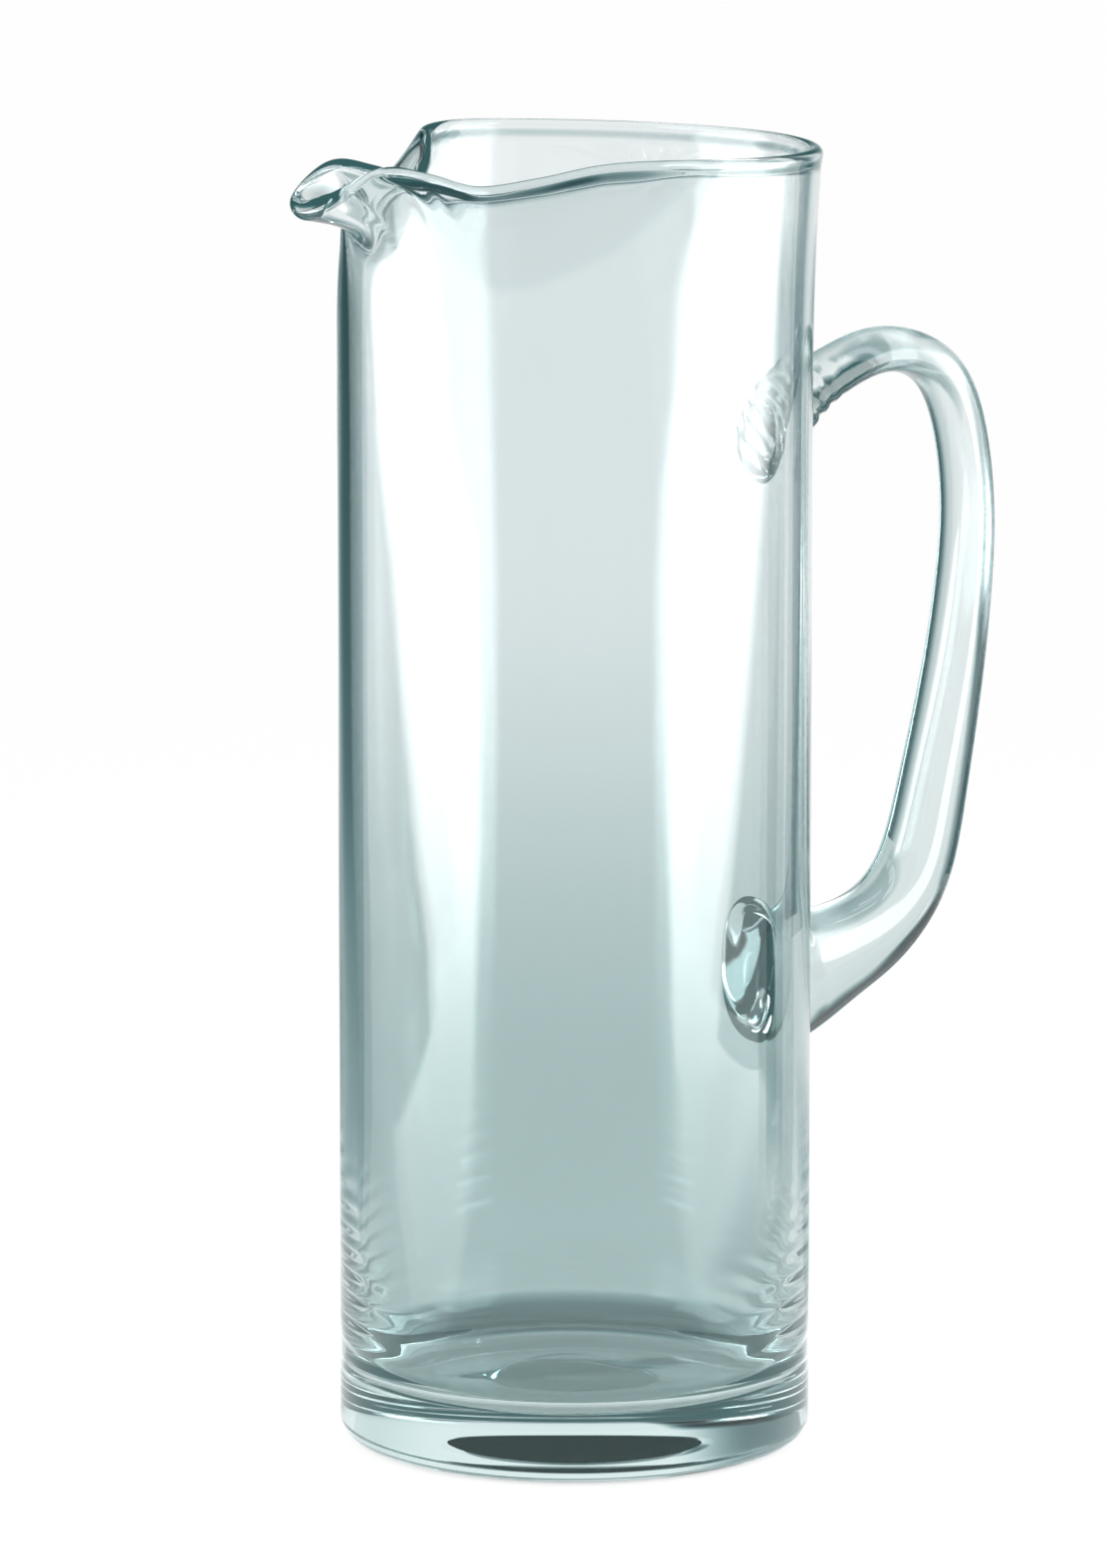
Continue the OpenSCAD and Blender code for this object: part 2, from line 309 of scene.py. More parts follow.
print(len(underside_loops()), "loops under the base,", len(outer_wall_loops()), "up the wall")


# %% [markdown]
# The thick floor stays soft longest. Its middle has a low ring, above the place where the iron held the jug,
# and a shallow fold. They catch the light as a crescent and a slant line.


# %% Loops of the rounded floor
MARK_RING_R = 10.0
MARK_RING_HALF = 3.0
MARK_RING_HEIGHT = 0.40
FOLD_ANGLE = math.radians(-14.0)
FOLD_HEIGHT = 0.5
FOLD_SLOPE = 3.6
FOLD_HALF_BREADTH = 11.0
FOLD_HALF_LENGTH = 24.0


def floor_marks(r, angle):
    x = -r * np.cos(angle)
    y = r * np.sin(angle)
    one_sided = 0.55 + 0.45 * np.sin(np.arctan2(y, x) - RING_SIDE)
    ring = MARK_RING_HEIGHT * np.exp(-(((r - MARK_RING_R) / MARK_RING_HALF) ** 2)) * one_sided
    along = x * math.cos(FOLD_ANGLE) + y * math.sin(FOLD_ANGLE)
    beside = y * math.cos(FOLD_ANGLE) - x * math.sin(FOLD_ANGLE)
    across = np.tanh(beside / FOLD_SLOPE) * np.exp(-((beside / FOLD_HALF_BREADTH) ** 2))
    fold = FOLD_HEIGHT * across * np.exp(-((along / FOLD_HALF_LENGTH) ** 4))
    return ring + fold


def floor_loops():
    loops = []
    low_r = BODY_R - WALL_LOW
    for a in np.linspace(0, math.pi / 2, 17):
        r = inner_radius(FAN, BASE_T + FLOOR_ROUND) - FLOOR_ROUND + FLOOR_ROUND * math.cos(a)
        loops.append(turned_loop(r, BASE_T + FLOOR_ROUND - FLOOR_ROUND * math.sin(a)))
    for r in np.linspace(low_r - FLOOR_ROUND, 1.5, 24)[1:]:
        loops.append(turned_loop(r, BASE_T + floor_marks(r, FAN)))
    return loops


print(len(floor_loops()), "loops on the floor")

# %% [markdown]
# The rim was softened once more in the fire and worked by hand. So the wall here leans to the rim by a power
# of its height, which keeps it straight for long and turns it late, and its edge is a rounded bead, because
# fire leaves no corner. The rows lie closer together toward the edge, where the bend is.

# %% Loops of the rim zone, and the whole body
RIM_ROWS = 40
ROW_POWER = 1.8
BEAD_POINTS = 11
STEP_DOWN = 0.003


def rim_zone_middle(v):
    # The share v runs from the seam on the round wall, at 0, to the rim, at 1
    blend = v ** RIM_TURN
    x = MID_R * np.cos(FAN)
    y = MID_R * np.sin(FAN)
    edge = BODY_H - RIM_DROP - (RIM_EDGE + BEAD_EXTRA) / 2
    x_now = x + (RIM_X - x) * blend
    y_now = y + (RIM_Y - y) * blend
    return np.stack([-x_now, y_now, SEAM_Z + (edge - SEAM_Z) * v], -1)


def rim_zone_directions(v):
    middle = rim_zone_middle(v)
    up = np.array([[0.0, 0.0, 1.0]] * len(FAN))
    if v > STEP_DOWN:
        up = unit(middle - rim_zone_middle(v - STEP_DOWN))
    along = np.roll(middle, -1, 0) - np.roll(middle, 1, 0)
    return unit(np.cross(up, along)), up


def rim_zone_loops():
    outside, inside = [], []
    for i in range(RIM_ROWS + 1):
        v = 1 - (1 - i / RIM_ROWS) ** ROW_POWER
        out, up = rim_zone_directions(v)
        bead = BEAD_EXTRA * math.exp(-(((1 - v) * RIM_ZONE / BEAD_REACH) ** 2))
        half = (WALL_TOP + (RIM_EDGE - WALL_TOP) * v ** 4 + bead)[:, None] / 2
        outside.append(rim_zone_middle(v) + out * half)
        inside.append(rim_zone_middle(v) - out * half)
    edge = []
    for j in range(1, BEAD_POINTS + 1):
        a = math.pi * j / (BEAD_POINTS + 1)
        edge.append(rim_zone_middle(1.0) + (out * math.cos(a) + up * math.sin(a)) * half)
    return outside + edge + inside[::-1]


body_loops = underside_loops() + outer_wall_loops() + rim_zone_loops()
body_loops += inner_wall_loops() + floor_loops()
body = mesh_from_loops("glass_body", body_loops, (0, 0, PUNT_DEPTH), (0, 0, BASE_T))
print("body of", len(body_loops), "loops and", len(body.data.polygons), "faces")

# %% [markdown]
# ## The handle
# The handle is a bar that was stuck on low, pulled up and out, bent over and pressed on again near the top.
# So it is thickest at its lower root, thins toward the top bend, and ends in a small upper root with the
# ripples of that last press. Its middle line and half sizes are rows of one table. The section is an oval
# that is flatter on the side toward the jug, where it was pulled against the tool, and rounder outside.

# %% Table of the handle
HANDLE = np.array([
    [0.0, 210.5, 7.4, 7.6],
    [5.0, 216.0, 6.1, 7.1],
    [14.0, 222.0, 4.9, 7.0],
    [30.0, 227.0, 4.7, 7.0],
    [45.9, 219.8, 4.7, 7.0],
    [52.1, 195.0, 4.7, 7.0],
    [49.9, 165.0, 5.3, 7.6],
    [43.6, 134.0, 6.7, 8.1],
    [38.1, 113.9, 7.5, 8.7],
    [28.5, 103.3, 8.8, 8.9],
    [15.8, 98.0, 10.7, 9.8],
    [6.0, 95.4, 13.2, 10.8],
    [0.0, 95.0, 14.6, 11.4],
])
GRIP_ROW = 5
ROOT_POWER = 2.5
BAR_POWER = 2.2
INNER_SHARE = 0.86
OUTER_SHARE = 1.2
HANDLE_STEPS = 12
SMOOTH_PASSES = 14
HANDLE_POINTS = 72
TOP_ROOT = {"z": 210.0, "half_z": 9.4, "half_y": 8.2}
LOW_ROOT = {"z": 95.0, "half_z": 15.8, "half_y": 11.6}
CAP_SHARES = (0.25, 0.5, 0.75)
TOP_MELT = 9.0
LOW_MELT = 8.0
CLEAR_OF_WALL = 0.02
RIPPLE = 0.4
RIPPLE_TURN = 1.6
RIPPLE_FULL = 8.0
RIPPLE_END = 24.0
RIPPLE_START = 3.0
print("grip", 2 * HANDLE[GRIP_ROW, 3], "mm broad,", 2 * HANDLE[GRIP_ROW, 2], "mm thick")


# %% [markdown]
# At both ends the bar has to meet the round wall all around. Each end therefore melts into an oval drawn on
# the wall itself, and no point of the bar may lie inside the wall.

# %% Loops of the handle
ANGLES = np.linspace(0, 2 * math.pi, HANDLE_POINTS, endpoint=False)


def soft_power(values, power):
    return np.sign(values) * np.abs(values) ** (2 / power)


def bar_section():
    # The share runs smoothly from the inner to the outer side, because any corner would show in the glass
    share = (OUTER_SHARE + INNER_SHARE) / 2 - (OUTER_SHARE - INNER_SHARE) / 2 * np.cos(ANGLES)
    return share * soft_power(np.cos(ANGLES), BAR_POWER), soft_power(np.sin(ANGLES), BAR_POWER)


def wall_x(y):
    return np.sqrt(BODY_R ** 2 - y ** 2)


def root_loop(root, side, share=1.0):
    # An oval on the round wall; the two roots run opposite ways, because the bar turns over between them
    y = share * root["half_y"] * soft_power(np.sin(ANGLES), ROOT_POWER)
    z = root["z"] + side * share * root["half_z"] * soft_power(np.cos(ANGLES), ROOT_POWER)
    return np.stack([wall_x(y), y, z], -1)


def smoothed(line):
    # The bends of the table even out, as they do in soft glass
    for _ in range(SMOOTH_PASSES):
        line[1:-1] = (line[:-2] + 2 * line[1:-1] + line[2:]) / 4
    return line


def press_ripple(run):
    fade = float(ease(RIPPLE_END, RIPPLE_FULL, run)) * float(ease(0, RIPPLE_START, run))
    return RIPPLE * math.sin(run * RIPPLE_TURN) * fade


def handle_loops():
    line = smoothed(curve_through(HANDLE, HANDLE_STEPS))
    steps = np.linalg.norm(np.diff(line[:, :2], axis=0), axis=1)
    run = np.concatenate([[0.0], np.cumsum(steps)])
    ahead = unit(np.gradient(line[:, :2], axis=0))
    depth, breadth = bar_section()
    loops = [root_loop(TOP_ROOT, -1, share) for share in CAP_SHARES]
    for i, (out, z, half_t, half_w) in enumerate(line):
        from_end = run[-1] - run[i]
        ripple = press_ripple(run[i])
        x = BODY_R + out + ahead[i, 1] * (half_t + ripple) * depth
        up = z - ahead[i, 0] * (half_t + ripple) * depth
        bar = np.stack([x, (half_w + ripple) * breadth, up], -1)
        top = float(ease(TOP_MELT, 0, run[i]))
        low = float(ease(LOW_MELT, 0, from_end))
        root = root_loop(TOP_ROOT, -1) * top + root_loop(LOW_ROOT, 1) * low
        root[:, 0] += out * (top + low)
        loop = bar * (1 - top - low) + root
        clear = CLEAR_OF_WALL * min(run[i], from_end)
        loop[:, 0] = np.maximum(loop[:, 0], wall_x(loop[:, 1]) + clear)
        loops.append(loop)
    return loops + [root_loop(LOW_ROOT, 1, share) for share in reversed(CAP_SHARES)]


bar_loops = handle_loops()
top_pole = (BODY_R, 0, TOP_ROOT["z"])
low_pole = (BODY_R, 0, LOW_ROOT["z"])
handle = mesh_from_loops("glass_handle", bar_loops, top_pole, low_pole)
print("handle of", len(bar_loops), "loops and", len(handle.data.polygons), "faces")

# %% [markdown]
# ## Which solid each piece stands for
# Both pieces belong to the one rigid body of the jug, and each takes the place of its solid.

# %% Tie the pieces to the solids
for piece, node, slot in ((body, "body", "body_glass"), (handle, "handle", "handle_glass")):
    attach(piece, "root")
    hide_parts(node)
print("two pieces of glass ride on the jug")

# %% [markdown]
# ## Glass finish
# Clear soda glass has a faint grey-green tint that only shows where there is a lot of it. The wall is thicker
# toward the base, so the tint deepens downward, and the darkening toward the base is also painted shade of
# the darker surroundings seen low through the glass. One node group gives both gathers that tint and painted
# shade, with faint upright streaks, and another gives the slight unevenness of a fire-polished skin.


# %% Node helpers and the tint group
def new_group(name, inputs, outputs):
    group = bpy.data.node_groups.new(name, "ShaderNodeTree")
    for label, kind, value in inputs:
        socket = group.interface.new_socket(label, in_out="INPUT", socket_type=kind)
        socket.default_value = value
    for label, kind in outputs:
        group.interface.new_socket(label, in_out="OUTPUT", socket_type=kind)
    return group, group.nodes.new("NodeGroupInput"), group.nodes.new("NodeGroupOutput")


def add_math(group, operation, first, second=None):
    node = group.nodes.new("ShaderNodeMath")
    node.operation = operation
    for index, value in enumerate((first, second)):
        if value is None:
            continue
        if isinstance(value, (int, float)):
            node.inputs[index].default_value = value
        else:
            group.links.new(value, node.inputs[index])
    return node.outputs[0]


def fade_over(tree, value, start, end, low=0.0, high=1.0):
    # A soft step from low, at the start, to high, at the end
    ramp = tree.nodes.new("ShaderNodeMapRange")
    ramp.interpolation_type = "SMOOTHSTEP"
    ramp.inputs["From Min"].default_value = start
    ramp.inputs["From Max"].default_value = end
    ramp.inputs["To Min"].default_value = low
    ramp.inputs["To Max"].default_value = high
    tree.links.new(value, ramp.inputs["Value"])
    return ramp.outputs["Result"]


# A Mix node keeps its colour sockets at these places
MIX_FIRST = 6
MIX_SECOND = 7
MIX_RESULT = 2
tint_group, tint_in, tint_out = new_group(
    "glass_tint_and_painted_shade_by_height",
    [
        ("Upper Tint", "NodeSocketColor", (0.9, 0.95, 0.95, 1)),
        ("Lower Tint And Shade", "NodeSocketColor", (0.7, 0.8, 0.8, 1)),
        ("Foot Tint", "NodeSocketColor", (0.5, 0.6, 0.6, 1)),
        ("Low", "NodeSocketFloat", 0.08),
        ("High", "NodeSocketFloat", 0.2),
        ("Foot", "NodeSocketFloat", 0.02),
        ("Streaks", "NodeSocketFloat", 0.06),
    ],
    [("Tint", "NodeSocketColor")],
)
place = tint_group.nodes.new("ShaderNodeTexCoord")
axes = tint_group.nodes.new("ShaderNodeSeparateXYZ")
tint_group.links.new(place.outputs["Object"], axes.inputs[0])


def rise_between(start, end):
    rise = tint_group.nodes.new("ShaderNodeMapRange")
    rise.interpolation_type = "SMOOTHSTEP"
    tint_group.links.new(axes.outputs["Z"], rise.inputs["Value"])
    tint_group.links.new(start, rise.inputs["From Min"])
    tint_group.links.new(end, rise.inputs["From Max"])
    return rise.outputs["Result"]


def mix_tints(factor, first, second):
    mix = tint_group.nodes.new("ShaderNodeMix")
    mix.data_type = "RGBA"
    tint_group.links.new(factor, mix.inputs["Factor"])
    tint_group.links.new(first, mix.inputs[MIX_FIRST])
    tint_group.links.new(second, mix.inputs[MIX_SECOND])
    return mix.outputs[MIX_RESULT]


stretch = tint_group.nodes.new("ShaderNodeMapping")
stretch.inputs["Scale"].default_value = (90, 90, 7)
tint_group.links.new(place.outputs["Object"], stretch.inputs["Vector"])
streak = tint_group.nodes.new("ShaderNodeTexNoise")
streak.inputs["Detail"].default_value = 3
tint_group.links.new(stretch.outputs["Vector"], streak.inputs["Vector"])
centred = add_math(tint_group, "SUBTRACT", streak.outputs[0], 0.5)
shift = add_math(tint_group, "MULTIPLY", centred, tint_in.outputs["Streaks"])
# The lower tint is partly the deeper tint of thicker glass and partly painted shade, darker toward the base
wall_rise = rise_between(tint_in.outputs["Low"], tint_in.outputs["High"])
wall_level = add_math(tint_group, "ADD", wall_rise, shift)
wall_tint_and_shade = mix_tints(wall_level, tint_in.outputs["Lower Tint And Shade"], tint_in.outputs["Upper Tint"])
half_foot = add_math(tint_group, "MULTIPLY", tint_in.outputs["Foot"], 0.5)
foot_level = rise_between(half_foot, tint_in.outputs["Foot"])
whole_tint = mix_tints(foot_level, tint_in.outputs["Foot Tint"], wall_tint_and_shade)
tint_group.links.new(whole_tint, tint_out.inputs["Tint"])
print("tint group with", len(tint_group.nodes), "nodes")

# %% [markdown]
# A skin that was polished by fire is smooth, but never flat. One slow noise gives it height, for the bump,
# and a finer one gives small patches a trace of haze. Both stay faint, or the glass would look cast.

# %% The fire-polished skin
skin_group, skin_in, skin_out = new_group(
    "fire_polished_skin",
    [("Wave", "NodeSocketFloat", 0.4), ("Haze", "NodeSocketFloat", 0.02)],
    [("Height", "NodeSocketFloat"), ("Roughness", "NodeSocketFloat")],
)
skin_place = skin_group.nodes.new("ShaderNodeTexCoord")
wave = skin_group.nodes.new("ShaderNodeTexNoise")
wave.inputs["Scale"].default_value = 26
wave.inputs["Detail"].default_value = 1
skin_group.links.new(skin_place.outputs["Object"], wave.inputs["Vector"])
height = add_math(skin_group, "MULTIPLY", wave.outputs[0], skin_in.outputs["Wave"])
skin_group.links.new(height, skin_out.inputs["Height"])
haze = skin_group.nodes.new("ShaderNodeTexNoise")
haze.inputs["Scale"].default_value = 45
haze.inputs["Detail"].default_value = 4
skin_group.links.new(skin_place.outputs["Object"], haze.inputs["Vector"])
patches = add_math(skin_group, "POWER", haze.outputs[0], 3)
roughness = add_math(skin_group, "MULTIPLY", patches, skin_in.outputs["Haze"])
skin_group.links.new(roughness, skin_out.inputs["Roughness"])
print("skin group with", len(skin_group.nodes), "nodes")

# %% [markdown]
# Where the handle was stuck on, the two gathers melted into one, and no skin is left between them. Both
# meshes are closed, so the wall and the ends of the bar still have faces there. A mask clears those faces
# inside the two root ovals, and the light goes straight from one gather into the other.

# %% The melted joint
joint_group, joint_in, joint_out = new_group(
    "melted_joint",
    [
        ("Root Height", "NodeSocketFloat", 0.1),
        ("Half Height", "NodeSocketFloat", 0.01),
        ("Half Breadth", "NodeSocketFloat", 0.01),
    ],
    [("Joint", "NodeSocketFloat")],
)
joint_place = joint_group.nodes.new("ShaderNodeTexCoord")
joint_axes = joint_group.nodes.new("ShaderNodeSeparateXYZ")
joint_group.links.new(joint_place.outputs["Object"], joint_axes.inputs[0])


def oval_part(offset, half):
    share = add_math(joint_group, "DIVIDE", add_math(joint_group, "ABSOLUTE", offset), half)
    return add_math(joint_group, "POWER", share, ROOT_POWER)


above = add_math(joint_group, "SUBTRACT", joint_axes.outputs["Z"], joint_in.outputs["Root Height"])
oval = add_math(
    joint_group,
    "ADD",
    oval_part(above, joint_in.outputs["Half Height"]),
    oval_part(joint_axes.outputs["Y"], joint_in.outputs["Half Breadth"]),
)
square_x = add_math(joint_group, "POWER", joint_axes.outputs["X"], 2)
square_y = add_math(joint_group, "POWER", joint_axes.outputs["Y"], 2)
off_axis = add_math(joint_group, "SQRT", add_math(joint_group, "ADD", square_x, square_y))
# Only the outer skin of the wall and the ends of the bar are cleared, never the inside of the wall
SKIN_GAP = 0.02
off_inside = add_math(joint_group, "GREATER_THAN", off_axis, (BODY_R - WALL_TOP / 2) * MM)
not_outside = add_math(joint_group, "LESS_THAN", off_axis, (BODY_R + SKIN_GAP) * MM)
outer_skin = add_math(joint_group, "MULTIPLY", off_inside, not_outside)
handle_side = add_math(joint_group, "GREATER_THAN", joint_axes.outputs["X"], 0.0)
in_oval = add_math(joint_group, "LESS_THAN", oval, 1.0)
on_skin = add_math(joint_group, "MULTIPLY", outer_skin, handle_side)
joint_group.links.new(add_math(joint_group, "MULTIPLY", in_oval, on_skin), joint_out.inputs["Joint"])
print("joint group with", len(joint_group.nodes), "nodes")


# %% [markdown]
# One function makes the glass of both gathers. On the real jug an outline is darker than the middle, partly
# because light that skims the wall goes a long way through it, and partly from the dark studio around it,
# so the tint is multiplied where a face is seen edge on: partly a deeper tint, partly painted shade. Light
# that is turned back again and again inside the thick base comes out as a deep blue-green. A renderer gives
# up on such light and leaves it black, so the material paints that colour in as a glow, by the Light Path
# node.

# %% Glass for both gathers
def place_group(material, group, values):
    node = material.node_tree.nodes.new("ShaderNodeGroup")
    node.node_tree = group
    for label, value in values.items():
        node.inputs[label].default_value = value
    return node


# A painted glow: deep blue-green emitted where the renderer would leave the light black
DEEP_PAINTED_GLOW = (0.022, 0.062, 0.064, 1)
DEEP_TURNS = 3.5
DEEP_STEPS = 11.5
SKIN_LOOK = {"Wave": 0.3, "Haze": 0.02}
BUMP_STRENGTH = 0.3
BUMP_DISTANCE = 0.0004
JOINT_TRIM = 0.1
# The skim tints are partly a deeper glass tint and partly painted shade at the outline
BODY_SKIM_TINT_AND_SHADE = {"start": 0.6, "end": 1.0, "tint": (0.78, 0.86, 0.865, 1)}
HANDLE_SKIM_TINT_AND_SHADE = {"start": 0.2, "end": 0.75, "tint": (0.36, 0.48, 0.49, 1)}


def clear_glass(name, tints, skim_look):
    material = bpy.data.materials.new(name)
    material.use_nodes = True
    tree = material.node_tree
    links = tree.links
    shader = tree.nodes["Principled BSDF"]
    shader.inputs["Transmission Weight"].default_value = 1.0
    shader.inputs["IOR"].default_value = 1.5
    tint = place_group(material, tint_group, tints)
    # Seen edge on the glass darkens: partly a deeper tint from the long path, partly painted shade for a dark
    # outline
    skim = tree.nodes.new("ShaderNodeLayerWeight")
    skim.inputs["Blend"].default_value = 0.5
    edge = tree.nodes.new("ShaderNodeMix")
    edge.data_type = "RGBA"
    edge.blend_type = "MULTIPLY"
    edge_tint_and_shade_share = fade_over(tree, skim.outputs["Facing"], skim_look["start"], skim_look["end"])
    links.new(edge_tint_and_shade_share, edge.inputs["Factor"])
    links.new(tint.outputs["Tint"], edge.inputs[MIX_FIRST])
    edge.inputs[MIX_SECOND].default_value = skim_look["tint"]
    links.new(edge.outputs[MIX_RESULT], shader.inputs["Base Color"])
    skin = place_group(material, skin_group, SKIN_LOOK)
    links.new(skin.outputs["Roughness"], shader.inputs["Roughness"])
    bump = tree.nodes.new("ShaderNodeBump")
    bump.inputs["Strength"].default_value = BUMP_STRENGTH
    bump.inputs["Distance"].default_value = BUMP_DISTANCE
    links.new(skin.outputs["Height"], bump.inputs["Height"])
    links.new(bump.outputs["Normal"], shader.inputs["Normal"])
    path = tree.nodes.new("ShaderNodeLightPath")
    often_turned = add_math(tree, "GREATER_THAN", path.outputs["Glossy Depth"], DEEP_TURNS)
    long_way = add_math(tree, "GREATER_THAN", path.outputs["Ray Depth"], DEEP_STEPS)
    deep = add_math(tree, "MAXIMUM", often_turned, long_way)
    shader.inputs["Emission Color"].default_value = DEEP_PAINTED_GLOW
    links.new(deep, shader.inputs["Emission Strength"])
    return material


# Lower Tint holds both the glass's deeper tint and painted shade toward the base
BODY_TINT_AND_SHADE = {
    "Upper Tint": (0.825, 0.875, 0.88, 1),
    "Lower Tint And Shade": (0.575, 0.675, 0.675, 1),
    "Foot Tint": (0.69, 0.83, 0.83, 1),
    "Low": 0.068,
    "High": 0.192,
    "Foot": 0.022,
}
HANDLE_TINT_AND_SHADE = {
    "Upper Tint": (0.79, 0.85, 0.85, 1),
    "Lower Tint And Shade": (0.68, 0.77, 0.77, 1),
    "Foot Tint": (0.68, 0.77, 0.77, 1),
}
body_glass = clear_glass("body_glass", BODY_TINT_AND_SHADE, BODY_SKIM_TINT_AND_SHADE)
handle_glass = clear_glass("handle_glass", HANDLE_TINT_AND_SHADE, HANDLE_SKIM_TINT_AND_SHADE)


def clear_the_joint(material, trim):
    joints = []
    for root in (TOP_ROOT, LOW_ROOT):
        values = {"Root Height": root["z"] * MM}
        values["Half Height"] = (root["half_z"] - trim) * MM
        values["Half Breadth"] = (root["half_y"] - trim) * MM
        joints.append(place_group(material, joint_group, values).outputs["Joint"])
    both = add_math(material.node_tree, "ADD", joints[0], joints[1])
    skin_left = add_math(material.node_tree, "SUBTRACT", 1.0, both)
    shader = material.node_tree.nodes["Principled BSDF"]
    material.node_tree.links.new(skin_left, shader.inputs["Alpha"])


clear_the_joint(body_glass, JOINT_TRIM)
clear_the_joint(handle_glass, -JOINT_TRIM)
body.data.materials.append(body_glass)
handle.data.materials.append(handle_glass)
print("glass on", body.name, "and", handle.name)

# %% [markdown]
# ## The ground hollow
# The iron that held the jug while its rim was worked leaves a scar, and the maker grinds it into a shallow
# hollow so that the jug stands flat. Ground glass scatters light, so this disc gets a material of its own,
# given only to the faces inside the hollow. Its colour runs by the angle at which it is seen: pale from
# above, and dark through the side of the base, which is painted shade for the dark space under the jug.

# %% Ground glass under the base
PALE_GROUND = {"facing": 0.4, "colour": (0.64, 0.78, 0.78, 1)}
# Seen edge on, the ground disc is dark: painted shade for the dark space under the jug
GROUND_PAINTED_SHADE = {"facing": 0.65, "colour": (0.03, 0.10, 0.10, 1)}
GRIT_SCALE = 700
LEAST_ROUGH = 0.4
MORE_ROUGH = 0.3
GROUND_MARGIN = 1.7
ground = bpy.data.materials.new("ground_hollow")
ground.use_nodes = True
ground_tree = ground.node_tree
ground_shader = ground_tree.nodes["Principled BSDF"]
ground_shader.inputs["Specular IOR Level"].default_value = 0.0
ground_place = ground_tree.nodes.new("ShaderNodeTexCoord")
ground_grit = ground_tree.nodes.new("ShaderNodeTexNoise")
ground_grit.inputs["Scale"].default_value = GRIT_SCALE
ground_grit.inputs["Detail"].default_value = 4
ground_tree.links.new(ground_place.outputs["Object"], ground_grit.inputs["Vector"])
ground_skim = ground_tree.nodes.new("ShaderNodeLayerWeight")
ground_skim.inputs["Blend"].default_value = 0.5
ground_shade_ramp = ground_tree.nodes.new("ShaderNodeValToRGB")
for element, look in zip(ground_shade_ramp.color_ramp.elements, (PALE_GROUND, GROUND_PAINTED_SHADE)):
    element.position = look["facing"]
    element.color = look["colour"]
ground_tree.links.new(ground_skim.outputs["Facing"], ground_shade_ramp.inputs["Fac"])
ground_tree.links.new(ground_shade_ramp.outputs["Color"], ground_shader.inputs["Base Color"])
grit_rough = add_math(ground_tree, "MULTIPLY", ground_grit.outputs[0], MORE_ROUGH)
ground_rough = add_math(ground_tree, "ADD", grit_rough, LEAST_ROUGH)
ground_tree.links.new(ground_rough, ground_shader.inputs["Roughness"])
body.data.materials.append(ground)
ground_faces = 0
for face in body.data.polygons:
    off_axis_now = math.hypot(face.center.x, face.center.y)
    if face.center.z < (PUNT_DEPTH + 0.1) * MM and off_axis_now < (PUNT_R - GROUND_MARGIN) * MM:
        face.material_index = 1
        ground_faces += 1
print(ground_faces, "ground faces")

# %% [markdown]
# ## Camera
# The photograph looks down a little from about two metres with a long lens, with the handle turned away to
# the right. The picture is 1111 by 1575, so the long side of the sensor is upright.

# %% Place the camera
AZIMUTH = math.radians(-34.0)
CAMERA_RUN = 1.9615
CAMERA_HEIGHT = 0.4782
PITCH = math.radians(9.773)
TURN = math.radians(0.134)
SENSOR = 36.0
FOCAL_PIXELS = 9451.8
PICTURE_HEIGHT = 1575
camera_data = bpy.data.cameras.new("photo_camera")
camera_data.sensor_width = SENSOR
camera_data.lens = FOCAL_PIXELS * SENSOR / PICTURE_HEIGHT
camera = bpy.data.objects.new("photo_camera", camera_data)
camera.location = (math.sin(AZIMUTH) * CAMERA_RUN, -math.cos(AZIMUTH) * CAMERA_RUN, CAMERA_HEIGHT)
camera.rotation_euler = (math.pi / 2 - PITCH, 0.0, AZIMUTH + TURN)
bpy.context.collection.objects.link(camera)
bpy.context.scene.camera = camera
print("camera lens", round(camera_data.lens, 1), "mm")

# %% [markdown]
# ## Floor, background and studio light
# Glass has no colour of its own to show: it shows what stands around it. A white floor and a white
# background fill its middle. Two soft boxes beside it, close enough to reach down the wall, draw the two
# broad white strips. Dark cards behind it draw the dark lines at its edges.
# The floor glows as white as the background, but keeps a share of its matt paint, which takes the shadow of
# the jug.


# %% White background and floor
FLOOR_HALF = 6.0
FLOOR_DROP = 0.0002
FLOOR_PAINT = (0.92, 0.92, 0.92, 1)
UNDER_FOOT_GLOW = 0.3
OPEN_GLOW = 0.85
FOOT_FADE = 10.0


def seen_directly(tree):
    # One where a ray comes from the camera, a reflection or through glass
    path = tree.nodes.new("ShaderNodeLightPath")
    seen = add_math(tree, "MAXIMUM", path.outputs["Is Camera Ray"], path.outputs["Is Glossy Ray"])
    return add_math(tree, "MAXIMUM", seen, path.outputs["Is Transmission Ray"])


world = bpy.data.worlds.new("white_studio")
world.use_nodes = True
bpy.context.scene.world = world
sky = world.node_tree.nodes["Background"]
sky.inputs["Color"].default_value = (1, 1, 1, 1)
sky.inputs["Strength"].default_value = 1.0

floor_mesh = bpy.data.meshes.new("floor")
floor_corners = [(-FLOOR_HALF, -FLOOR_HALF, 0), (FLOOR_HALF, -FLOOR_HALF, 0)]
floor_corners += [(FLOOR_HALF, FLOOR_HALF, 0), (-FLOOR_HALF, FLOOR_HALF, 0)]
floor_mesh.from_pydata(floor_corners, [], [(0, 1, 2, 3)])
floor = bpy.data.objects.new("floor", floor_mesh)
floor.location.z = -FLOOR_DROP
bpy.context.collection.objects.link(floor)
floor_paint = bpy.data.materials.new("floor_paint")
floor_paint.use_nodes = True
floor_tree = floor_paint.node_tree
matt = floor_tree.nodes["Principled BSDF"]
matt.inputs["Base Color"].default_value = FLOOR_PAINT
matt.inputs["Roughness"].default_value = 0.9
glow = floor_tree.nodes.new("ShaderNodeEmission")
floor_mix = floor_tree.nodes.new("ShaderNodeMixShader")
